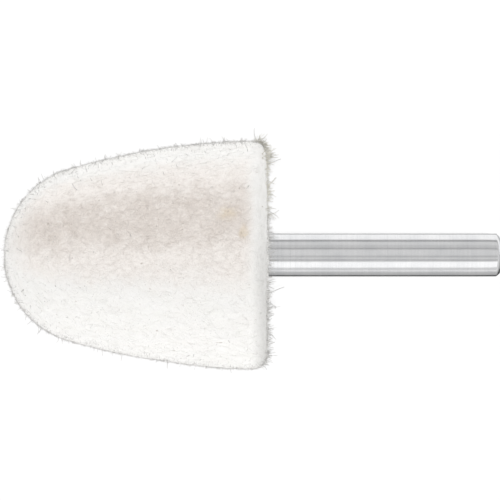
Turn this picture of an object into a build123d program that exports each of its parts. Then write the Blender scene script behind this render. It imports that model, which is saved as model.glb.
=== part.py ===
from build123d import *
import math
import os

# Mounted felt polishing point: a pressed wool felt head glued on a steel shank.
# X is the spin axis, +X points to the free end of the shank, and +Z is up.
# The origin is on the axis, in the plane of the head's back face. All sizes are in mm.

# Felt head
HEAD_LENGTH = 36.4
HEAD_RADIUS = 15.85
NOSE_RADIUS = 12.4
RIM_RADIUS = 1.8

# Shank
SHANK_RADIUS = 3.0
SHANK_EXPOSED = 32.6
SHANK_EMBEDDED = 26.0
FREE_END_CHAMFER = 0.5
INNER_END_CHAMFER = 1.0

# Grip rings cut in the embedded end, which the glue keys into. The first starts at the back face,
# so the plain wall of the shank is the exposed part alone.
RING_COUNT = 5
RING_FIRST = 0.0
RING_PITCH = 4.5
RING_WIDTH = 1.6
RING_DEPTH = 0.35

# Bore in the head, and the glue that fills it
GLUE_GAP = 0.2
BORE_RADIUS = SHANK_RADIUS + GLUE_GAP
BORE_DEPTH = SHANK_EMBEDDED + 0.6
GLUE_SETBACK = 0.4


def ring_starts():
    """Distances from the back face to the near side of each grip ring."""
    return [RING_FIRST + index * RING_PITCH for index in range(RING_COUNT)]


def shank_outline():
    """Half outline of the shank about X, from the inner end to the free end."""
    wall = SHANK_RADIUS
    groove = SHANK_RADIUS - RING_DEPTH
    points = [
        (-SHANK_EMBEDDED, 0),
        (-SHANK_EMBEDDED, wall - INNER_END_CHAMFER),
        (INNER_END_CHAMFER - SHANK_EMBEDDED, wall),
    ]
    for start in reversed(ring_starts()):
        points += [
            (-start - RING_WIDTH, wall),
            (-start - RING_WIDTH, groove),
            (-start, groove),
            (-start, wall),
        ]
    points += [
        (SHANK_EXPOSED - FREE_END_CHAMFER, wall),
        (SHANK_EXPOSED, wall - FREE_END_CHAMFER),
        (SHANK_EXPOSED, 0),
    ]
    return points


# The side is one large arc that is parallel to the axis at the back face
# and runs into the round nose without a corner.
NOSE_CENTRE = NOSE_RADIUS - HEAD_LENGTH
SIDE_RADIUS = (NOSE_CENTRE**2 + HEAD_RADIUS**2 - NOSE_RADIUS**2) / (2 * (HEAD_RADIUS - NOSE_RADIUS))
SIDE_CENTRE = HEAD_RADIUS - SIDE_RADIUS
JOIN_ANGLE = math.atan2(-SIDE_CENTRE, -NOSE_CENTRE)
JOIN_POINT = (
    NOSE_CENTRE - NOSE_RADIUS * math.cos(JOIN_ANGLE),
    NOSE_RADIUS * math.sin(JOIN_ANGLE),
)
NOSE_TIP = (-HEAD_LENGTH, 0)
NOSE_MIDDLE = (
    NOSE_CENTRE - NOSE_RADIUS * math.cos(JOIN_ANGLE / 2),
    NOSE_RADIUS * math.sin(JOIN_ANGLE / 2),
)
RIM_CORNER = (0, HEAD_RADIUS)
SIDE_MIDDLE_X = JOIN_POINT[0] / 2
SIDE_MIDDLE = (
    SIDE_MIDDLE_X,
    SIDE_CENTRE + math.sqrt(SIDE_RADIUS**2 - SIDE_MIDDLE_X**2),
)

with BuildPart() as felt_head:
    with BuildSketch(Plane.XY):
        with BuildLine():
            ThreePointArc(NOSE_TIP, NOSE_MIDDLE, JOIN_POINT)
            ThreePointArc(JOIN_POINT, SIDE_MIDDLE, RIM_CORNER)
            Polyline(RIM_CORNER, (0, 0), NOSE_TIP)
        make_face()
    revolve(axis=Axis.X)
    fillet(felt_head.edges().sort_by(Axis.X)[-1], radius=RIM_RADIUS)
    with Locations(Location((0, 0, 0), (0, -90, 0))):
        Cylinder(
            BORE_RADIUS,
            BORE_DEPTH,
            align=(Align.CENTER, Align.CENTER, Align.MIN),
            mode=Mode.SUBTRACT,
        )
felt_head.part.label = "felt_head"

with BuildPart() as steel_shank:
    with BuildSketch(Plane.XY):
        Polygon(*shank_outline(), align=None)
    revolve(axis=Axis.X)
steel_shank.part.label = "steel_shank"

with BuildPart() as adhesive_bond:
    with Locations(Location((-GLUE_SETBACK, 0, 0), (0, -90, 0))):
        Cylinder(
            BORE_RADIUS,
            BORE_DEPTH - GLUE_SETBACK,
            align=(Align.CENTER, Align.CENTER, Align.MIN),
        )
    add(steel_shank.part, mode=Mode.SUBTRACT)
adhesive_bond.part.label = "adhesive_bond"

os.makedirs("parts", exist_ok=True)
export_step(felt_head.part, "parts/felt_head.step")
export_step(steel_shank.part, "parts/steel_shank.step")
export_step(adhesive_bond.part, "parts/adhesive_bond.step")
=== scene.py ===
import math
import random

import bmesh
import bpy
from mathutils import Matrix, Vector, noise


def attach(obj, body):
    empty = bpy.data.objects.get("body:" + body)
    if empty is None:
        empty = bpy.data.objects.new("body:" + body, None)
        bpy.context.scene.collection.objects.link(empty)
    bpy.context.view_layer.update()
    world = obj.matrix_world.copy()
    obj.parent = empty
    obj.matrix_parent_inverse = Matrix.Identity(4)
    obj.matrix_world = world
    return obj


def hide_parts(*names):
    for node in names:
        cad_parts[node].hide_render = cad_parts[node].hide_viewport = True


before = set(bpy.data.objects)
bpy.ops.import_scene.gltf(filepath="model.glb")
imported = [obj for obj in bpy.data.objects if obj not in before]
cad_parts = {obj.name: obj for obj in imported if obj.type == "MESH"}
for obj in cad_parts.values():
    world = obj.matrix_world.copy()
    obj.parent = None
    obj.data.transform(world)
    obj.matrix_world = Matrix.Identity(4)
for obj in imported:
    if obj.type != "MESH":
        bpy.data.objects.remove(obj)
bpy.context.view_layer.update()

MM = 0.001

# The felt head, in mm: a round nose that runs into one long arc, and a soft rear rim.
HEAD_LENGTH = 36.4
HEAD_RADIUS = 15.85
NOSE_RADIUS = 12.4
RIM_RADIUS = 1.8
BORE_RADIUS = 3.2
BORE_DEPTH = 26.6

# How fine the head's mesh is: steps round the axis, and the step along each stretch of its outline.
HEAD_STEPS = 320
PROFILE_STEP = 0.33
BORE_WALL_STEP = 1.2
BORE_END_STEP = 0.8

# The back face, within BACK_DEPTH of its plane, swells round the shank. It is dished as far out as
# DISH_RADIUS, where it steps down a little, and the dish deepens over the DISH_SLOPE radii. The bore's lip
# closes on the shank.
BACK_DEPTH = 2
SWELL_HEIGHT = 0.55
SWELL_WIDTH = 1.1
DISH_DEPTH = 0.25
DISH_SLOPE = (14, 5)
DISH_RADIUS = 8
LIP_DEPTH = 0.2
LIP_GAP = 0.03

# The ground steel shank, in mm, with its grip rings, its chamfers and the centre mark in its free end.
SHANK_RADIUS = 3.0
SHANK_OUT = 32.6
SHANK_IN = 26.0
END_CHAMFER = 0.5
INNER_CHAMFER = 1.0
SOFT_CORNER = 0.12
RING_COUNT = 5
RING_PITCH = 4.5
RING_WIDTH = 1.6
RING_DEPTH = 0.35
END_FLAT_RADIUS = 2.2
MARK_RADIUS = 0.45
MARK_DEPTH = 0.25
SHANK_STEPS = 128
WALL_START = 0.4
WALL_STEP = 2.0
END_STEP = 0.35
SHARP_ANGLE = math.radians(38)

# The tool lies over a table at this height, in mm. Loose wool keeps clear of the table and the shank.
TABLE_HEIGHT = -15.95
TABLE_CLEARANCE = 0.03
SHANK_CLEARANCE = 0.04

# How much thinner a standing fibre is at its tip, and how many points a lying fibre has.
FIBRE_TAPER = 0.45
LYING_POINTS = 7

# Points closer than this, in mm, are one point of a spun mesh.
MERGE_GAP = 0.0005


# ---------------------------------------------------------------- shape of the felt

NOSE_CENTRE = NOSE_RADIUS - HEAD_LENGTH
SIDE_RADIUS = (NOSE_CENTRE**2 + HEAD_RADIUS**2 - NOSE_RADIUS**2) / (2 * (HEAD_RADIUS - NOSE_RADIUS))
SIDE_CENTRE = HEAD_RADIUS - SIDE_RADIUS
JOIN_ANGLE = math.atan2(-SIDE_CENTRE, -NOSE_CENTRE)


def arc_points(centre, radius, start, end, step):
    """Points along an arc, with the end left out. Angles run from the nose side (0) over the top."""
    count = max(2, round(abs(end - start) * radius / step))
    points = []
    for index in range(count):
        angle = start + (end - start) * index / count
        points.append((centre[0] - radius * math.cos(angle), centre[1] + radius * math.sin(angle)))
    return points


def line_points(first, last, step):
    """Points along a straight run, with the last left out."""
    length = math.dist(first, last)
    count = max(1, round(length / step))
    return [
        tuple(a + (b - a) * index / count for a, b in zip(first, last)) for index in range(count)
    ]


def felt_outline():
    """Half outline of the felt's outer skin in mm, as (x, radius), from the nose to the bore's mouth."""
    rim_angle = math.acos(RIM_RADIUS / (SIDE_RADIUS - RIM_RADIUS))
    rim_centre = (-RIM_RADIUS, SIDE_CENTRE + (SIDE_RADIUS - RIM_RADIUS) * math.sin(rim_angle))
    points = arc_points((NOSE_CENTRE, 0), NOSE_RADIUS, 0, JOIN_ANGLE, PROFILE_STEP)
    points += arc_points((0, SIDE_CENTRE), SIDE_RADIUS, JOIN_ANGLE, rim_angle, PROFILE_STEP)
    points += arc_points(rim_centre, RIM_RADIUS, rim_angle, math.pi, PROFILE_STEP)
    points += line_points((0, rim_centre[1]), (0, BORE_RADIUS), PROFILE_STEP)
    return points


OUTLINE = felt_outline()


# What breaks up the felt's even skin, from broad lumps to matted wool:
# the height in mm, how many times per mm it changes, and where its pattern starts.
LUMPS = (
    (0.10, 0.11, Vector((3.1, 7.7, 1.9))),
    (0.055, 0.31, Vector((11.3, 2.2, 5.4))),
    (0.032, 0.95, Vector((1.7, 9.1, 4.3))),
    (0.018, 1.7, Vector((8.2, 3.3, 6.6))),
)


def smooth_step(low, high, value):
    """0 before low and 1 past high, with a smooth run between them."""
    share = min(1.0, max(0.0, (value - low) / (high - low)))
    return share * share * (3 - 2 * share)


def felt_lumps(place):
    """How far the pressed felt stands out of its ideal shape at a place, in mm."""
    return sum(height * noise.noise(place * pace + start) for height, pace, start in LUMPS)


def root_swell(place):
    """How far the back face stands out at a place, in mm: lifted round the shank, and dished beyond."""
    radius = math.hypot(place.y, place.z)
    if place.x < -BACK_DEPTH or radius > DISH_RADIUS:
        return 0.0
    lift = SWELL_HEIGHT * math.exp(-((radius - BORE_RADIUS) / SWELL_WIDTH) ** 2)
    dish = -DISH_DEPTH * smooth_step(*DISH_SLOPE, radius)
    return lift * (1 + 0.5 * noise.noise(place * 0.7)) + dish


class FeltSkin:
    """The felt's outer skin, addressed by the distance along its outline and the angle round the axis."""

    def __init__(self, outline):
        self.points = [Vector((x, r)) for x, r in outline]
        self.runs = [0.0]
        for before, after in zip(self.points, self.points[1:]):
            self.runs.append(self.runs[-1] + (after - before).length)
        self.length = self.runs[-1]
        self.widest = max(p.y for p in self.points)

    def at(self, along):
        """(x, radius, tangent) at a distance along the outline, in mm."""
        along = min(self.length - 1e-6, max(0.0, along))
        low, high = 0, len(self.runs) - 1
        while high - low > 1:
            middle = (low + high) // 2
            if self.runs[middle] <= along:
                low = middle
            else:
                high = middle
        before, after = self.points[low], self.points[low + 1]
        share = (along - self.runs[low]) / (self.runs[low + 1] - self.runs[low])
        spot = before.lerp(after, share)
        return spot.x, spot.y, (after - before).normalized()

    def place(self, along, turn, lift=0.0):
        """(place, outward, forward, sideways) in mm of a spot on the lumpy felt, lift above it."""
        x, radius, tangent = self.at(along)
        around = Vector((0, math.sin(turn), math.cos(turn)))
        outward = Vector((-tangent.y, 0, 0)) + around * tangent.x
        forward = Vector((tangent.x, 0, 0)) + around * tangent.y
        sideways = Vector((0, math.cos(turn), -math.sin(turn)))
        ideal = Vector((x, 0, 0)) + around * radius
        height = felt_lumps(ideal) + root_swell(ideal)
        return ideal + outward * (height + lift), outward, forward, sideways

    def random_spot(self, rng, low, high):
        """A spot drawn evenly by area between two distances along the outline."""
        while True:
            along = rng.uniform(low, high)
            _, radius, _ = self.at(along)
            if rng.random() * self.widest <= radius:
                return along, rng.uniform(0, 2 * math.pi)


SKIN = FeltSkin(OUTLINE)

# Distances along the skin, in mm, where the rounded rear rim and the flat back face begin.
RIM_ALONG = next(run for run, p in zip(SKIN.runs, SKIN.points) if p.x > -RIM_RADIUS - 0.1)
FACE_ALONG = next(run for run, p in zip(SKIN.runs, SKIN.points) if p.x > -0.02)

# Lying wool turns back at these distances, short of the nose's pole and of the bore. Nap starts nearer
# the pole.
LYING_START = 0.3
LYING_END = SKIN.length - 0.4
NAP_START = 0.2

# The few long loose fibres: distance along the skin in mm, degrees round the axis (0 is +Z, 90 is +Y),
# length in mm, and lean along the skin and round it.
STRAYS = (
    (SKIN.length - 1.9, 268, 3.1, (0.05, 0.1)),
    (SKIN.length - 6.0, 310, 2.2, (0.3, -0.4)),
    (SKIN.length - 9.0, 85, 2.4, (-0.4, 0.3)),
    (SKIN.length - 12.8, 92, 2.1, (-0.6, 0.2)),
    (SKIN.length - 5.0, 170, 2.6, (0.2, 0.5)),
    (30.0, 265, 1.3, (0.2, 0.1)),
    (21.0, 95, 1.1, (0.5, -0.2)),
    (12.0, 275, 1.2, (-0.4, 0.3)),
    (3.5, 255, 1.0, (0.3, 0.2)),
)

# The few large tufts: distance along the skin in mm, degrees round the axis, fibres, shortest and longest
# fibre in mm, pull towards the shank's free end, and spread.
TUFTS = (
    (RIM_ALONG + 0.1, 90, 5, 0.8, 1.9, -0.3, 0.6),
    (RIM_ALONG + 0.7, 91, 13, 0.4, 1.1, 0.2, 0.9),
    (RIM_ALONG + 0.9, 89, 8, 0.8, 2.3, 0.35, 0.9),
    (RIM_ALONG + 1.3, 88, 15, 0.4, 1.2, 0.5, 0.9),
    (RIM_ALONG + 1.4, 91, 9, 0.9, 2.1, 0.6, 0.9),
    (RIM_ALONG + 1.7, 92, 13, 0.4, 1.1, 0.6, 0.9),
    (RIM_ALONG + 1.9, 88, 7, 0.8, 1.9, 0.8, 0.9),
    (RIM_ALONG + 2.6, 92, 7, 0.6, 1.6, 0.8, 0.8),
    (RIM_ALONG + 1.9, 270, 9, 0.4, 1.1, 0.9, 0.6),
    (RIM_ALONG + 2.6, 274, 8, 0.5, 1.3, 1.2, 0.6),
    (SKIN.length - 10.5, 91, 7, 0.7, 1.8, 0.4, 0.4),
    (SKIN.length - 5.2, 90, 7, 0.7, 1.7, 0.4, 0.5),
    (SKIN.length - 2.4, 88, 12, 0.9, 2.4, 0.7, 0.7),
    (SKIN.length - 2.2, 268, 7, 0.7, 1.4, 0.4, 0.5),
    (5.6, 268, 8, 0.4, 0.95, 0.0, 0.7),
    (6.9, 271, 7, 0.4, 0.9, 0.0, 0.7),
)


# ---------------------------------------------------------------- meshes

def link(name, mesh):
    """Puts a finished piece in the scene, with its place in its own mesh, riding on the tool."""
    piece = bpy.data.objects.new(name, mesh)
    bpy.context.scene.collection.objects.link(piece)
    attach(piece, "root")
    return piece


def spun_mesh(name, outline, steps, shape=None):
    """Spins a half outline, (x, radius) in mm, about the X axis into a smooth mesh, then shapes it."""
    bm = bmesh.new()
    verts = [bm.verts.new((x, 0.0, r)) for x, r in outline]
    edges = [bm.edges.new(pair) for pair in zip(verts, verts[1:])]
    bmesh.ops.spin(
        bm,
        geom=verts + edges,
        cent=(0, 0, 0),
        axis=(1, 0, 0),
        dvec=(0, 0, 0),
        angle=2 * math.pi,
        steps=steps,
        use_merge=True,
        use_duplicate=False,
    )
    bmesh.ops.remove_doubles(bm, verts=bm.verts, dist=MERGE_GAP)
    bmesh.ops.recalc_face_normals(bm, faces=bm.faces)
    if shape:
        shape(bm)
    bmesh.ops.scale(bm, vec=(MM, MM, MM), verts=bm.verts)
    mesh = bpy.data.meshes.new(name)
    bm.to_mesh(mesh)
    bm.free()
    mesh.shade_smooth()
    return mesh


def shape_felt(bm):
    """Gives the spun head its lumps and its swollen back face, and closes the bore's lip on the shank."""
    bm.normal_update()
    moves = []
    for vert in bm.verts:
        place = vert.co.copy()
        radius = math.hypot(place.y, place.z)
        in_bore = radius < BORE_RADIUS + 0.01 and place.x > -BORE_DEPTH - 0.1
        if in_bore and place.x < -LIP_DEPTH:
            moves.append(place)
        elif in_bore:
            around = Vector((0, place.y, place.z)).normalized()
            moves.append(around * (SHANK_RADIUS + LIP_GAP) + Vector((root_swell(place), 0, 0)))
        else:
            moves.append(place + vert.normal * (felt_lumps(place) + root_swell(place)))
    for vert, place in zip(bm.verts, moves):
        vert.co = place


def make_felt_head():
    bore = line_points((0, BORE_RADIUS), (-BORE_DEPTH, BORE_RADIUS), BORE_WALL_STEP)
    bore += line_points((-BORE_DEPTH, BORE_RADIUS), (-BORE_DEPTH, 0), BORE_END_STEP)
    outline = OUTLINE + bore + [(-BORE_DEPTH, 0)]
    return link("felt_wool_head", spun_mesh("felt_wool_head", outline, HEAD_STEPS, shape_felt))


def make_shank():
    """The rod from its inner end to its free end: grip rings, plain wall, chamfer and centre mark."""
    groove = SHANK_RADIUS - RING_DEPTH
    outline = [
        (-SHANK_IN, 0),
        (-SHANK_IN, SHANK_RADIUS - INNER_CHAMFER),
        (INNER_CHAMFER - SHANK_IN, SHANK_RADIUS),
    ]
    for ring in reversed(range(RING_COUNT)):
        start = ring * RING_PITCH
        outline += [
            (-start - RING_WIDTH, SHANK_RADIUS),
            (-start - RING_WIDTH, groove),
            (-start, groove),
            (-start, SHANK_RADIUS),
        ]
    shoulder = SHANK_OUT - END_CHAMFER
    face_radius = SHANK_RADIUS - END_CHAMFER
    wall_end = (shoulder - SOFT_CORNER, SHANK_RADIUS)
    outline += line_points((WALL_START, SHANK_RADIUS), wall_end, WALL_STEP)
    outline += [
        wall_end,
        (shoulder, SHANK_RADIUS - SOFT_CORNER * 0.3),
        (shoulder + SOFT_CORNER, SHANK_RADIUS - SOFT_CORNER),
        (SHANK_OUT - 0.1, face_radius + SOFT_CORNER),
        (SHANK_OUT - 0.02, face_radius),
        (SHANK_OUT, face_radius - 0.1),
    ]
    mark_edge = (SHANK_OUT - 0.03, MARK_RADIUS)
    outline += line_points((SHANK_OUT, END_FLAT_RADIUS), mark_edge, END_STEP)
    outline += [mark_edge, (SHANK_OUT - 0.22, 0.12), (SHANK_OUT - MARK_DEPTH, 0)]
    mesh = spun_mesh("ground_steel_shank", outline, SHANK_STEPS)
    mesh.set_sharp_from_angle(angle=SHARP_ANGLE)
    return link("ground_steel_shank", mesh)


# ---------------------------------------------------------------- wool fibres

def fibre_curve(name, fibres, thickness):
    """One piece of many fine fibres. Each fibre is a list of (place in mm, share of the thickness)."""
    curve = bpy.data.curves.new(name, "CURVE")
    curve.dimensions = "3D"
    curve.bevel_depth = thickness * MM / 2
    curve.bevel_resolution = 0
    for fibre in fibres:
        spline = curve.splines.new("POLY")
        spline.points.add(len(fibre) - 1)
        flat = []
        for place, _ in fibre:
            flat += [place.x * MM, place.y * MM, place.z * MM, 1.0]
        spline.points.foreach_set("co", flat)
        spline.points.foreach_set("radius", [share for _, share in fibre])
        spline.use_smooth = True
    strand = bpy.data.objects.new(name, curve)
    mesh = bpy.data.meshes.new_from_object(strand)
    bpy.data.objects.remove(strand)
    bpy.data.curves.remove(curve)
    mesh.name = name
    return link(name, mesh)


def unit_vector(rng):
    """A way drawn evenly over the whole sphere."""
    while True:
        way = Vector((rng.uniform(-1, 1), rng.uniform(-1, 1), rng.uniform(-1, 1)))
        if 0.05 < way.length < 1:
            return way.normalized()


def standing_fibre(rng, root, heading, length, curl, points=5):
    """A fibre that leaves the felt at root, and bends and thins as it goes."""
    bend = unit_vector(rng)
    bend = (bend - heading * bend.dot(heading)).normalized()
    wander = unit_vector(rng)
    step = length / (points - 1)
    place = root.copy()
    direction = heading.copy()
    fibre = []
    for index in range(points):
        share = index / (points - 1)
        fibre.append((place.copy(), 1.0 - FIBRE_TAPER * share))
        sway = wander * curl * 0.4 * (share - 0.5)
        direction = (direction + bend * curl / points + sway).normalized()
        place = place + direction * step
        place.z = max(place.z, TABLE_HEIGHT + TABLE_CLEARANCE)
    return fibre


def lying_fibre(rng, along, turn, length, thickness):
    """A fibre matted into the felt's skin, which dips in at both ends."""
    heading = rng.gauss(0, 0.75)
    if rng.random() < 0.5:
        heading += math.pi
    drift = rng.gauss(0, 0.5)
    step = length / (LYING_POINTS - 1)
    fibre = []
    for index in range(LYING_POINTS):
        rise = math.sin(math.pi * index / (LYING_POINTS - 1))
        lift = thickness * (0.58 * rise - 0.47)
        place, _, _, _ = SKIN.place(along, turn, lift)
        fibre.append((place, 0.55 + 0.45 * rise))
        _, radius, _ = SKIN.at(along)
        along += math.cos(heading) * step
        if along < LYING_START or along > LYING_END:
            heading = math.pi - heading
            along = min(LYING_END, max(LYING_START, along))
        turn += math.sin(heading) * step / max(radius, 0.8)
        heading += drift * step + rng.gauss(0, 0.35)
    return fibre


def lying_wool(seed, count, thickness):
    """Fibres matted all over the skin."""
    rng = random.Random(seed)
    fibres = []
    for _ in range(count):
        along, turn = SKIN.random_spot(rng, LYING_START, SKIN.length - 0.5)
        fibres.append(lying_fibre(rng, along, turn, rng.uniform(1.0, 3.0), thickness))
    return fibres


# How thickly loose wool grows at a place in mm, as a share of the thickest growth.

def everywhere(place):
    """Even all over."""
    return 1.0


def at_the_flanks(place):
    """Thickest level with the axis, in uneven clumps, and thin over the top and the underside."""
    clump = smooth_step(-0.35, 0.25, noise.noise(place * 1.1 + Vector((4.4, 0.9, 7.3))))
    return 0.03 + 0.97 * math.exp(-((place.z / 3.2) ** 2)) * (0.35 + 0.65 * clump)


def off_the_top(place):
    """Sparse over the rubbed top, thin on the underside, and thinner on the -Y side than on +Y."""
    level = place.z / math.hypot(place.y, place.z, 1.0)
    share = 1.0 - 0.95 * smooth_step(0.2, 0.6, level) - 0.75 * smooth_step(0.2, 0.7, -level)
    return share * (0.5 + 0.5 * smooth_step(-6, 2, place.y))


def hairy_side(place):
    """How hairy each side is: most on the +Y side and at the nose."""
    return 0.35 + 0.65 * max(smooth_step(-6, 2, place.y), smooth_step(-26, -33, place.x))


def along_the_edge(place):
    """The loose hairs: most level with the axis, and few over the top and the underside."""
    return hairy_side(place) * (0.06 + 0.94 * math.exp(-((place.z / 4.5) ** 2)))


def level_with_the_axis(place):
    """Only in a narrow line level with the axis."""
    return hairy_side(place) * math.exp(-(place.z**2))


def nap(seed, count, low, high, shortest, longest, upright, points, share_at=everywhere):
    """Fine fibres that stand off the felt, leaning at random, and longer in some patches."""
    rng = random.Random(seed)
    fibres = []
    while len(fibres) < count:
        along, turn = SKIN.random_spot(rng, low, high)
        root, outward, forward, sideways = SKIN.place(along, turn, -0.05)
        if rng.random() > share_at(root):
            continue
        lean = forward * rng.gauss(0, 1) + sideways * rng.gauss(0, 1)
        heading = (outward * upright + lean * 0.6).normalized()
        if heading.dot(outward) < 0.15:
            heading = (heading + outward * 0.4).normalized()
        length = shortest + (longest - shortest) * rng.random() ** 2.2
        length *= 0.7 + 0.7 * smooth_step(-0.3, 0.35, noise.noise(root * 1.7))
        fibres.append(standing_fibre(rng, root, heading, length, rng.uniform(0.3, 1.3), points))
    return fibres


def tufts(seed, count, low, high, strands, shortest, longest, back_pull, spread, share_at=everywhere):
    """Small bunches of fibres that share a root, as along a cut edge of felt. Most are short."""
    rng = random.Random(seed)
    fibres = []
    while count > 0:
        along, turn = SKIN.random_spot(rng, low, high)
        if rng.random() > share_at(SKIN.place(along, turn)[0]):
            continue
        count -= 1
        reach = 0.35 + 0.75 * rng.random() ** 1.6
        strand_count = rng.randint(*strands)
        lengths = (shortest * reach, longest * reach)
        fibres += one_tuft(rng, along, turn, strand_count, *lengths, back_pull, spread)
    return fibres


def one_tuft(rng, along, turn, strands, shortest, longest, back_pull, spread):
    """A bunch of fibres from one root, which back_pull leans towards the free end of the shank."""
    root, outward, forward, sideways = SKIN.place(along, turn, -0.1)
    lean = forward * rng.gauss(0, 0.4) + sideways * rng.gauss(0, 0.4)
    heading = (outward * 0.8 + Vector((back_pull, 0, 0)) + lean).normalized()
    fibres = []
    for _ in range(strands):
        start = root + (forward * rng.gauss(0, 0.10) + sideways * rng.gauss(0, 0.14))
        length = shortest + (longest - shortest) * rng.random() ** 1.3
        aim = (heading + unit_vector(rng) * rng.uniform(0.1, 1.0) * spread).normalized()
        fibres.append(standing_fibre(rng, start, aim, length, rng.uniform(0.2, 1.8)))
    return fibres


def placed_tufts(seed):
    rng = random.Random(seed)
    fibres = []
    for along, degrees, *tuft in TUFTS:
        fibres += one_tuft(rng, along, math.radians(degrees), *tuft)
    return fibres


def root_wisps(seed, count):
    """Fibres that the shank carried out with it when it was pushed home, lying along it."""
    rng = random.Random(seed)
    fibres = []
    for _ in range(count):
        turn = rng.uniform(0, 2 * math.pi)
        around = Vector((0, math.sin(turn), math.cos(turn)))
        root = around * (SHANK_RADIUS + 0.2 + 2.2 * rng.random() ** 2) + Vector((0.1, 0, 0))
        slip = Vector((0, math.cos(turn), -math.sin(turn))) * rng.gauss(0, 0.35)
        heading = (Vector((1, 0, 0)) - around * rng.uniform(0.0, 0.35) + slip).normalized()
        fibre = standing_fibre(rng, root, heading, rng.uniform(0.5, 1.5), rng.uniform(0.2, 0.8), 6)
        fibres.append([(clear_of_shank(place), share) for place, share in fibre])
    return fibres


def clear_of_shank(place):
    """Keeps a fibre's place outside the shank."""
    radius = math.hypot(place.y, place.z)
    nearest = SHANK_RADIUS + SHANK_CLEARANCE
    if radius >= nearest:
        return place
    grow = nearest / max(radius, 0.01)
    return Vector((place.x, place.y * grow, place.z * grow))


def stray_fibres(seed):
    rng = random.Random(seed)
    fibres = []
    for along, degrees, length, (lean_forward, lean_sideways) in STRAYS:
        root, outward, forward, sideways = SKIN.place(along, math.radians(degrees), -0.05)
        heading = (outward + forward * lean_forward + sideways * lean_sideways).normalized()
        fibres.append(standing_fibre(rng, root, heading, length, 0.7, 8))
    return fibres


# ---------------------------------------------------------------- materials

class Nodes:
    """A short way to lay out a material's nodes."""

    def __init__(self, name):
        self.material = bpy.data.materials.new(name)
        self.material.use_nodes = True
        self.tree = self.material.node_tree
        self.tree.nodes.clear()
        self.output = self.tree.nodes.new("ShaderNodeOutputMaterial")
        self.shader = self.tree.nodes.new("ShaderNodeBsdfPrincipled")
        self.join(self.shader.outputs["BSDF"], self.output.inputs["Surface"])

    def join(self, source, target):
        self.tree.links.new(source, target)

    def set(self, **values):
        """Sets the shader's own sockets, with _ for a space in a socket's name."""
        for key, value in values.items():
            self.shader.inputs[key.replace("_", " ")].default_value = value

    def place_mm(self, scale=(1, 1, 1), move=(0, 0, 0)):
        """Object coordinates in mm, stretched and moved."""
        coordinates = self.tree.nodes.new("ShaderNodeTexCoord")
        mapping = self.tree.nodes.new("ShaderNodeMapping")
        mapping.inputs["Scale"].default_value = [1000 * s for s in scale]
        mapping.inputs["Location"].default_value = move
        self.join(coordinates.outputs["Object"], mapping.inputs["Vector"])
        return mapping.outputs["Vector"]

    def split(self, vector):
        """A vector's X, Y and Z."""
        node = self.tree.nodes.new("ShaderNodeSeparateXYZ")
        self.join(vector, node.inputs["Vector"])
        return node.outputs

    def noise(self, vector, scale, detail=2.0, roughness=0.5, distortion=0.0):
        node = self.tree.nodes.new("ShaderNodeTexNoise")
        node.inputs["Scale"].default_value = scale
        node.inputs["Detail"].default_value = detail
        node.inputs["Roughness"].default_value = roughness
        node.inputs["Distortion"].default_value = distortion
        self.join(vector, node.inputs["Vector"])
        return node

    def math(self, operation, first, second=None):
        node = self.tree.nodes.new("ShaderNodeMath")
        node.operation = operation
        for socket, value in zip(node.inputs, (first, second)):
            if value is None:
                continue
            if isinstance(value, (int, float)):
                socket.default_value = value
            else:
                self.join(value, socket)
        return node.outputs[0]

    def vector_math(self, operation, first, second=None):
        node = self.tree.nodes.new("ShaderNodeVectorMath")
        node.operation = operation
        for socket, value in zip(node.inputs, (first, second)):
            if isinstance(value, (tuple, list)):
                socket.default_value = value
            elif value is not None:
                self.join(value, socket)
        return node.outputs["Value" if operation in ("DOT_PRODUCT", "LENGTH") else "Vector"]

    def remap(self, value, low, high, to_low=0.0, to_high=1.0):
        """A smooth run from to_low to to_high as value goes from low to high."""
        node = self.tree.nodes.new("ShaderNodeMapRange")
        node.interpolation_type = "SMOOTHSTEP"
        node.inputs["From Min"].default_value = low
        node.inputs["From Max"].default_value = high
        node.inputs["To Min"].default_value = to_low
        node.inputs["To Max"].default_value = to_high
        self.join(value, node.inputs["Value"])
        return node.outputs["Result"]

    def blend(self, factor, first, second, mode="MIX"):
        """Two colours mixed by a factor. A mix node's colours go in at 6 and 7 and come out at 2."""
        node = self.tree.nodes.new("ShaderNodeMix")
        node.data_type = "RGBA"
        node.blend_type = mode
        self.join(factor, node.inputs["Factor"])
        for socket, value in ((node.inputs[6], first), (node.inputs[7], second)):
            if isinstance(value, tuple):
                socket.default_value = (*value, 1.0)
            else:
                self.join(value, socket)
        return node.outputs[2]

    def bump(self, height, distance_mm, strength):
        """Turns a height into the shader's surface relief."""
        node = self.tree.nodes.new("ShaderNodeBump")
        node.inputs["Strength"].default_value = strength
        node.inputs["Distance"].default_value = distance_mm * MM
        self.join(height, node.inputs["Height"])
        self.join(node.outputs["Normal"], self.shader.inputs["Normal"])


def fibre_lines(nodes, vector, scale, width):
    """Thin curling lines, bright along a fibre: where a noise field passes through its middle value."""
    field = nodes.noise(vector, scale, detail=1.0, roughness=0.4)
    away = nodes.math("ABSOLUTE", nodes.math("SUBTRACT", field.outputs["Fac"], 0.5))
    return nodes.remap(away, 0.0, width, 1.0, 0.0)


def soft_spot(nodes, vector, middle, reach):
    """1 at the middle of a spot (places in mm), fading to 0 at its reach along each axis."""
    away = nodes.vector_math("SUBTRACT", vector, middle)
    away = nodes.vector_math("DIVIDE", away, reach)
    return nodes.remap(nodes.vector_math("LENGTH", away), 0.15, 1.0, 1.0, 0.0)


# The way that the painted shade band faces, and from which the fill is weakest: 20 degrees from straight
# up, towards +Y.
SHADED_SIDE_WAY = (0, math.sin(math.radians(20)), math.cos(math.radians(20)))

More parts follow.
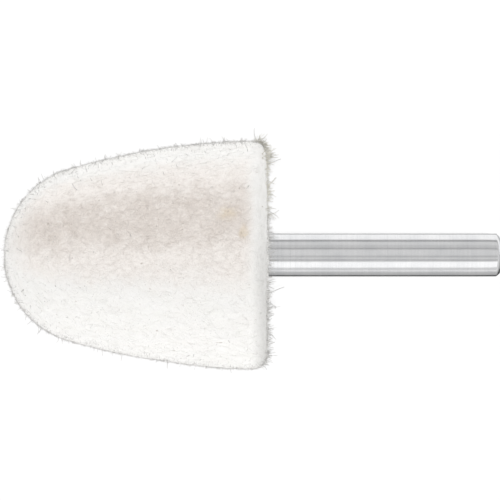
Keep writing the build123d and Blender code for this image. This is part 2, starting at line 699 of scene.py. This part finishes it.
# Two faint marks of old compound, the second with a darker core: place, reach in mm, strength.
COMPOUND_MARKS = (
    ((-5.2, 5.7, 14.5), (1.9, 1.5, 2.5), 0.55),
    ((-3.1, 3.3, 15.2), (0.9, 1.5, 2.5), 0.50),
    ((-2.9, 2.7, 15.4), (0.28, 0.28, 2.0), 0.60),
)

# Tones of the felt.
COOL_WOOL = (0.94, 0.935, 0.91)
WARM_WOOL = (0.95, 0.938, 0.918)
PALE_PATCH = (0.96, 0.955, 0.94)
RAISED_FIBRE = (0.975, 0.97, 0.955)
# Painted shade along the top: a warm tint, a darker warm tone, darker specks of painted shade and pale
# specks of painted highlight.
WARM_SHADE_TINT = (0.965, 0.915, 0.875)
PAINTED_SHADE_WOOL = (0.775, 0.71, 0.66)
SHADE_SPECK_WOOL = (0.66, 0.61, 0.57)
PAINTED_HIGHLIGHT_SPECK = (0.99, 0.96, 0.93)
# The rear rim's greyer tone is painted shade.
RIM_SHADE_WOOL = (0.73, 0.725, 0.71)
OLD_COMPOUND = (0.80, 0.69, 0.53)
DARK_FLECK = (0.42, 0.36, 0.31)


def laid_wool(nodes, plain, warped):
    """Curling fibres of three sizes laid over soft pads, which also give the felt its relief."""
    streaked = nodes.vector_math("MULTIPLY", warped, (0.45, 1.0, 1.0))
    coarse = fibre_lines(nodes, nodes.vector_math("ADD", streaked, (5.1, 1.2, 9.4)), 1.5, 0.07)
    middle = fibre_lines(nodes, nodes.vector_math("ADD", streaked, (2.3, 7.8, 3.6)), 2.6, 0.08)
    small = fibre_lines(nodes, nodes.vector_math("ADD", warped, (8.8, 4.1, 0.7)), 4.2, 0.10)
    wool = nodes.math("ADD", nodes.math("MULTIPLY", coarse, 0.9), nodes.math("MULTIPLY", middle, 0.7))
    wool = nodes.math("ADD", wool, nodes.math("MULTIPLY", small, 0.5))
    pads = nodes.noise(plain, 0.55, detail=3.0, roughness=0.6)
    height = nodes.math("ADD", wool, nodes.math("MULTIPLY", pads.outputs["Fac"], 3.0))
    nodes.bump(height, 0.045, 0.55)
    return wool


def clean_tone(nodes, plain, wool):
    """White wool with soft drifts of tone, palest along the laid fibres."""
    drift = nodes.noise(plain, 0.16, detail=2.0, roughness=0.55)
    tone = nodes.blend(nodes.remap(drift.outputs["Fac"], 0.38, 0.62), COOL_WOOL, WARM_WOOL)
    patch = nodes.noise(nodes.place_mm((0.5, 1, 1), (31, 5, 12)), 0.5, detail=3.0, roughness=0.6)
    tone = nodes.blend(nodes.remap(patch.outputs["Fac"], 0.3, 0.7), tone, PALE_PATCH)
    lit = nodes.remap(wool, 0.2, 1.7)
    return nodes.blend(nodes.math("MULTIPLY", lit, 0.3), tone, RAISED_FIBRE)


def painted_shade_band(nodes, tone, plain, warped, along_axis):
    """Painted shade: a warmer, duller band along the top, mottled with darker specks of painted shade and
    pale specks of painted highlight.
    """
    across = nodes.vector_math("NORMALIZE", nodes.vector_math("MULTIPLY", warped, (0, 1, 1)))
    facing = nodes.vector_math("DOT_PRODUCT", across, SHADED_SIDE_WAY)
    edge = nodes.noise(plain, 0.35, detail=2.0)
    facing = nodes.math("ADD", facing, nodes.math("MULTIPLY", edge.outputs["Fac"], 0.10))
    past_nose = nodes.remap(along_axis, -37, -30)
    before_rim = nodes.remap(along_axis, -3.6, -1.2, 1.0, 0.0)
    inside = nodes.math("MULTIPLY", past_nose, before_rim)
    warm_shade = nodes.math("MULTIPLY", nodes.remap(facing, 0.78, 0.98), inside)
    deep_shade = nodes.math("MULTIPLY", nodes.remap(facing, 0.97, 1.06), inside)
    tone = nodes.blend(nodes.math("MULTIPLY", warm_shade, 0.85), tone, WARM_SHADE_TINT)
    tone = nodes.blend(nodes.math("MULTIPLY", deep_shade, 0.9), tone, PAINTED_SHADE_WOOL)

    # specks of painted shade and painted highlight over the band
    spots = nodes.place_mm((0.75, 1, 1), (2, 9, 6))
    speckle_noise = nodes.noise(spots, 1.5, detail=5.0, roughness=0.85, distortion=0.8).outputs["Fac"]
    speckle_amount = nodes.math("MULTIPLY", warm_shade, 0.65)
    speckle_amount = nodes.math("ADD", speckle_amount, nodes.math("MULTIPLY", deep_shade, 0.35))
    shade_specks = nodes.math("MULTIPLY", nodes.remap(speckle_noise, 0.46, 0.60), speckle_amount)
    tone = nodes.blend(nodes.math("MULTIPLY", shade_specks, 0.55), tone, SHADE_SPECK_WOOL)
    highlight_specks = nodes.math("MULTIPLY", nodes.remap(speckle_noise, 0.46, 0.34), speckle_amount)
    return nodes.blend(nodes.math("MULTIPLY", highlight_specks, 0.6), tone, PAINTED_HIGHLIGHT_SPECK)


def painted_rim_shade(nodes, tone, plain, axes):
    """Painted shade: the rear rim is a little greyer, most on the -Y side."""
    off_axis = nodes.vector_math("LENGTH", nodes.vector_math("MULTIPLY", plain, (0, 1, 1)))
    near_back = nodes.remap(axes["X"], -2.3, -0.3, 0.0, 0.9)
    side = nodes.remap(axes["Y"], -3, 7, 1.0, 0.35)
    rim = nodes.math("MULTIPLY", near_back, side)
    rim = nodes.math("MULTIPLY", rim, nodes.remap(off_axis, 11.0, 14.6, 0.2, 1.0))
    return nodes.blend(rim, tone, RIM_SHADE_WOOL)


def marked_tone(nodes, tone, warped):
    """The marks of old compound, and a few dark flecks."""
    for middle, reach, strength in COMPOUND_MARKS:
        mark = nodes.math("MULTIPLY", soft_spot(nodes, warped, middle, reach), strength)
        tone = nodes.blend(mark, tone, OLD_COMPOUND)
    fleck = nodes.noise(nodes.place_mm((0.6, 1, 1), (4, 17, 8)), 1.9, detail=1.0)
    flecks = nodes.remap(fleck.outputs["Fac"], 0.75, 0.81)
    return nodes.blend(nodes.math("MULTIPLY", flecks, 0.55), tone, DARK_FLECK)


def felt_material():
    nodes = Nodes("pressed_white_wool_felt")
    nodes.set(Metallic=0.0, Specular_IOR_Level=0.12, Sheen_Weight=0.25, Sheen_Roughness=0.6)
    nodes.set(Sheen_Tint=(1.0, 0.99, 0.97, 1.0))
    plain = nodes.place_mm()
    wander = nodes.noise(plain, 0.9, detail=2.0)
    push = nodes.vector_math("SUBTRACT", wander.outputs["Color"], (0.5, 0.5, 0.5))
    warped = nodes.vector_math("ADD", plain, nodes.vector_math("MULTIPLY", push, (1.6, 1.6, 1.6)))
    axes = nodes.split(plain)

    wool = laid_wool(nodes, plain, warped)
    tone = clean_tone(nodes, plain, wool)
    tone = painted_shade_band(nodes, tone, plain, warped, axes["X"])
    tone = painted_rim_shade(nodes, tone, plain, axes)
    tone = marked_tone(nodes, tone, warped)
    nodes.join(tone, nodes.shader.inputs["Base Color"])
    nodes.join(nodes.remap(wool, 0.0, 2.0, 0.98, 0.86), nodes.shader.inputs["Roughness"])
    return nodes.material


def fibre_material(name, dark, light, yellowed=0.0):
    """Loose wool: each fibre's tone drifts along it, and it can be yellowed towards the +Y side."""
    nodes = Nodes(name)
    nodes.set(Metallic=0.0, Specular_IOR_Level=0.2, Roughness=0.75, Sheen_Weight=0.15)
    drift = nodes.noise(nodes.place_mm(), 0.9, detail=2.0, roughness=0.6)
    tone = nodes.blend(nodes.remap(drift.outputs["Fac"], 0.35, 0.65), dark, light)
    if yellowed:
        amount = nodes.remap(nodes.split(nodes.place_mm())["Y"], 2, 9, 0.0, yellowed)
        tone = nodes.blend(amount, tone, (1.0, 0.96, 0.80), "MULTIPLY")
    nodes.join(tone, nodes.shader.inputs["Base Color"])
    return nodes.material


def steel_material():
    """Ground steel: fine rings left by the stone, hairlines from handling, and soft clouds of tone."""
    nodes = Nodes("fine_ground_steel")
    nodes.set(Metallic=1.0, Specular_IOR_Level=0.5)
    rings = nodes.noise(nodes.place_mm((5.5, 0.05, 0.05)), 1.0, detail=4.0, roughness=0.65).outputs["Fac"]
    lengthwise = nodes.place_mm((0.12, 5.0, 5.0), (3, 9, 2))
    hairlines = nodes.noise(lengthwise, 1.0, detail=3.0, roughness=0.6).outputs["Fac"]
    clouds = nodes.noise(nodes.place_mm((1, 1, 1), (7, 1, 5)), 0.35, detail=3.0).outputs["Fac"]
    nodes.bump(nodes.math("ADD", rings, nodes.math("MULTIPLY", hairlines, 0.5)), 0.004, 0.5)
    tone = nodes.blend(nodes.remap(clouds, 0.3, 0.7), (0.70, 0.705, 0.715), (0.765, 0.765, 0.77))
    tone = nodes.blend(nodes.remap(rings, 0.35, 0.75, 0.0, 0.35), tone, (0.60, 0.605, 0.615))
    nodes.join(tone, nodes.shader.inputs["Base Color"])
    nodes.join(nodes.remap(hairlines, 0.25, 0.75, 0.11, 0.19), nodes.shader.inputs["Roughness"])
    return nodes.material


def resin_material():
    nodes = Nodes("amber_glue")
    nodes.set(Metallic=0.0, Specular_IOR_Level=0.5, Roughness=0.35)
    cloud = nodes.remap(nodes.noise(nodes.place_mm(), 0.8, detail=2.0).outputs["Fac"], 0.3, 0.7)
    tone = nodes.blend(cloud, (0.62, 0.50, 0.30), (0.72, 0.62, 0.42))
    nodes.join(tone, nodes.shader.inputs["Base Color"])
    return nodes.material


# ---------------------------------------------------------------- build the tool

felt = felt_material()
# The nap, the loose hairs and the tufts are toned grey, well below the felt's white: painted shade, so that
# they read as a grey fringe of shaded fibres against the white table. The tufts' yellowing towards +Y is
# the wool's own colour.
nap_fibre = fibre_material("short_nap_fibre", (0.53, 0.525, 0.515), (0.68, 0.67, 0.66))
pale_nap_fibre = fibre_material("back_face_nap_fibre", (0.70, 0.69, 0.66), (0.90, 0.89, 0.86))
dark_fibre = fibre_material("loose_wool_fibre", (0.47, 0.465, 0.455), (0.64, 0.63, 0.61))
grey_fibre = fibre_material("grey_wool_fibre", (0.50, 0.49, 0.47), (0.76, 0.745, 0.72))
fuzz_fibre = fibre_material("tuft_wool_fibre", (0.53, 0.525, 0.51), (0.78, 0.775, 0.76), 0.5)
steel = steel_material()
resin = resin_material()

head = make_felt_head()
head.data.materials.append(felt)
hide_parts("felt_head")

shank = make_shank()
shank.data.materials.append(steel)
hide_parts("steel_shank")

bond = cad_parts["adhesive_bond"]
bond.data.materials.clear()
bond.data.materials.append(resin)

# Each piece of loose wool: name, fibres, thickness in mm, material. Every piece has its own seed.
WOOL = (
    ("matted_wool_upper", lying_wool(101, 3300, 0.07), 0.07, felt),
    ("matted_wool_lower", lying_wool(102, 3300, 0.05), 0.05, felt),
    (
        "short_nap",
        nap(201, 19000, NAP_START, FACE_ALONG, 0.12, 0.34, upright=3.0, points=2, share_at=at_the_flanks),
        0.036,
        nap_fibre,
    ),
    (
        "long_nap",
        nap(203, 640, NAP_START, RIM_ALONG, 0.25, 1.0, upright=0.9, points=5, share_at=along_the_edge),
        0.075,
        dark_fibre,
    ),
    (
        "edge_hairs",
        nap(204, 170, NAP_START, RIM_ALONG, 0.3, 0.85, upright=1.5, points=4, share_at=level_with_the_axis),
        0.075,
        dark_fibre,
    ),
    (
        "back_face_nap",
        nap(202, 1300, FACE_ALONG - 0.6, SKIN.length - 0.4, 0.15, 0.45, upright=2.0, points=3),
        0.05,
        pale_nap_fibre,
    ),
    (
        "back_face_tufts",
        tufts(302, 120, FACE_ALONG, SKIN.length - 1.5, (2, 4), 0.5, 2.1, back_pull=0.3, spread=0.75),
        0.095,
        fuzz_fibre,
    ),
    (
        "rim_tufts",
        tufts(
            301, 105, RIM_ALONG + 0.9, FACE_ALONG + 0.6, (2, 4), 0.4, 1.9,
            back_pull=0.9, spread=0.8, share_at=off_the_top,
        ),
        0.09,
        fuzz_fibre,
    ),
    (
        "rim_fringe",
        tufts(304, 230, FACE_ALONG - 0.9, FACE_ALONG + 3.5, (2, 3), 0.45, 1.5, back_pull=0.9, spread=1.0),
        0.085,
        fuzz_fibre,
    ),
    ("large_tufts", placed_tufts(303), 0.085, fuzz_fibre),
    ("root_wisps", root_wisps(401, 56), 0.06, grey_fibre),
    ("stray_fibres", stray_fibres(501), 0.10, dark_fibre),
)
for name, fibres, thickness, material in WOOL:
    piece = fibre_curve(name, fibres, thickness)
    piece.data.materials.append(material)


# ---------------------------------------------------------------- table, light and camera

# The studio: the table's half width in mm, the fill on the wool, with its strength from the way that the
# painted shade band faces and the cosines between which it weakens, what the steel sees past the cards, and
# the white behind all.
TABLE_REACH = 1600
WHITE = (1.0, 1.0, 1.0)
FILL_COLOUR = (0.86, 0.855, 0.85)
FILL_OVERHEAD = 0.86
FILL_FADE = (0.5, 0.95)
STUDIO_GREY = 0.82
BACKDROP_WHITE = 1.03


def stage_sheet(name, low, high, height_mm):
    """A flat sheet of the studio, from low to high in mm (x, y)."""
    bm = bmesh.new()
    bmesh.ops.create_grid(bm, x_segments=1, y_segments=1, size=0.5)
    size = [(b - a) * MM for a, b in zip(low, high)]
    middle = [(a + b) / 2 * MM for a, b in zip(low, high)]
    bmesh.ops.scale(bm, vec=(size[0], size[1], 1), verts=bm.verts)
    bmesh.ops.translate(bm, verts=bm.verts, vec=(middle[0], middle[1], height_mm * MM))
    mesh = bpy.data.meshes.new(name)
    bm.to_mesh(mesh)
    bm.free()
    sheet = bpy.data.objects.new(name, mesh)
    bpy.context.scene.collection.objects.link(sheet)
    return sheet


def glow_material(name, base, glow):
    """A matt grey of the given base that also glows white."""
    nodes = Nodes(name)
    nodes.set(Roughness=1.0, Specular_IOR_Level=0.0, Base_Color=(base, base, base, 1.0))
    nodes.set(Emission_Color=(*WHITE, 1.0), Emission_Strength=glow)
    return nodes.material


def make_table():
    """A white light table. A lamp straight above lights only the table, for the tool's shadow."""
    corner = (TABLE_REACH, TABLE_REACH)
    table = stage_sheet("white_table", (-TABLE_REACH, -TABLE_REACH), corner, TABLE_HEIGHT)
    table.data.materials.append(glow_material("white_table_top", 0.15, 0.58))
    lamp = bpy.data.objects.new("table_lamp", bpy.data.lights.new("table_lamp", "SUN"))
    bpy.context.scene.collection.objects.link(lamp)
    lamp.data.angle = math.radians(3.5)
    lamp.data.energy = 6.5
    table_only = bpy.data.collections.new("table_only")
    table_only.objects.link(table)
    lamp.light_linking.receiver_collection = table_only


def make_card(name, low, high, height_mm, glow):
    """A glowing card that the camera does not see and that casts no shadow."""
    card = stage_sheet(name, low, high, height_mm)
    card.data.materials.append(glow_material(name, 0.0, glow))
    card.visible_camera = False
    card.visible_shadow = False
    card.visible_transmission = False
    return card


def make_world():
    """A grey studio: white to the camera, a soft fill on the wool, and a neutral grey in the steel."""
    world = bpy.data.worlds.new("studio")
    bpy.context.scene.world = world
    world.use_nodes = True
    tree = world.node_tree
    tree.nodes.clear()
    output = tree.nodes.new("ShaderNodeOutputWorld")
    ray = tree.nodes.new("ShaderNodeLightPath")

    def background(colour, strength):
        node = tree.nodes.new("ShaderNodeBackground")
        node.inputs["Color"].default_value = (*colour, 1.0)
        node.inputs["Strength"].default_value = strength
        return node.outputs["Background"]

    def choose(flag, otherwise, chosen):
        node = tree.nodes.new("ShaderNodeMixShader")
        tree.links.new(ray.outputs[flag], node.inputs["Fac"])
        tree.links.new(otherwise, node.inputs[1])
        tree.links.new(chosen, node.inputs[2])
        return node.outputs["Shader"]

    # the fill is weakest from the way that the painted shade band faces
    ways = tree.nodes.new("ShaderNodeTexCoord")
    overhead = tree.nodes.new("ShaderNodeVectorMath")
    overhead.operation = "DOT_PRODUCT"
    tree.links.new(ways.outputs["Generated"], overhead.inputs[0])
    overhead.inputs[1].default_value = SHADED_SIDE_WAY
    dimmed = tree.nodes.new("ShaderNodeMapRange")
    dimmed.interpolation_type = "SMOOTHSTEP"
    dimmed.inputs["From Min"].default_value, dimmed.inputs["From Max"].default_value = FILL_FADE
    dimmed.inputs["To Min"].default_value = 1.0
    dimmed.inputs["To Max"].default_value = FILL_OVERHEAD
    tree.links.new(overhead.outputs["Value"], dimmed.inputs["Value"])
    fill = background(FILL_COLOUR, 1.0)
    tree.links.new(dimmed.outputs["Result"], fill.node.inputs["Strength"])
    grey = background(WHITE, STUDIO_GREY)
    white = background(WHITE, BACKDROP_WHITE)
    chosen = choose("Is Camera Ray", choose("Is Glossy Ray", fill, grey), white)
    tree.links.new(chosen, output.inputs["Surface"])


def soft_box(name, side_angle, distance, size_x, size_y, radiance):
    """A white soft box, side_angle degrees from straight above towards +Y, with its sizes in metres.

    The steel does not mirror it: the cards below give the steel its reflections.
    """
    light = bpy.data.lights.new(name, "AREA")
    light.shape = "RECTANGLE"
    light.size = size_x
    light.size_y = size_y
    light.energy = radiance * math.pi * size_x * size_y
    lamp = bpy.data.objects.new(name, light)
    bpy.context.scene.collection.objects.link(lamp)
    turn = Matrix.Rotation(math.radians(-side_angle), 4, "X")
    lamp.matrix_world = turn @ Matrix.Translation((0, 0, distance))
    lamp.visible_camera = False
    lamp.visible_glossy = False


make_table()
make_world()
soft_box("key_box", side_angle=-48, distance=0.40, size_x=0.60, size_y=0.17, radiance=1.31)
soft_box("side_box", side_angle=80, distance=0.80, size_x=1.20, size_y=0.24, radiance=1.9)

# a white card on the table, on the +Y side, bounces light up on to the tool
bounce = make_card("bounce_card", (-300, 18), (300, 280), TABLE_HEIGHT + 0.2, 1.02)
bounce.visible_glossy = False

# Cards that only show as reflections in the steel: their two edges in Y and their height, in mm, and how
# brightly they glow. They all reach as far along X.
CARD_ENDS = (-220, 320)
ON_TABLE = TABLE_HEIGHT + 0.3
REFLECTIONS = (
    ("near_dark_card", -16.5, -3, ON_TABLE, 0.10),
    ("near_grey_card", -30, -16.5, ON_TABLE, 0.52),
    ("middle_grey_card", -60, -30, ON_TABLE, 0.62),
    ("outer_grey_card", -112, -60, ON_TABLE, 0.74),
    ("far_edge_card", 7, 16.5, ON_TABLE, 0.62),
    ("far_white_card", 16.5, 280, ON_TABLE, 1.18),
    ("horizon_dark_card", 72, 570, 20, 0.46),
    ("far_grey_strip", 112, 162, 200, 0.50),
    ("far_pale_strip", 166, 290, 200, 0.70),
    ("middle_grey_strip", -74, -17, 300, 0.62),
    ("near_grey_strip", -200, -122, 300, 0.60),
    ("key_reflection_card", -920, -224, 300, 1.30),
)
for name, low, high, height, glow in REFLECTIONS:
    card = make_card(name, (CARD_ENDS[0], low), (CARD_ENDS[1], high), height, glow)
    card.visible_diffuse = False

# The camera looks straight down, over the middle of the view (x, y), at a view this wide, all in mm.
VIEW_MIDDLE = (-2.23, 0.685)
VIEW_WIDTH = 69.7
LENS = 200
SENSOR = 36
camera = bpy.data.objects.new("camera", bpy.data.cameras.new("camera"))
bpy.context.scene.collection.objects.link(camera)
camera.data.lens = LENS
camera.data.sensor_width = SENSOR
camera.data.clip_start = 0.01
camera.data.clip_end = 10
camera.location = (VIEW_MIDDLE[0] * MM, VIEW_MIDDLE[1] * MM, VIEW_WIDTH * MM * LENS / SENSOR)
bpy.context.scene.camera = camera

bpy.context.scene.view_settings.view_transform = "Standard"
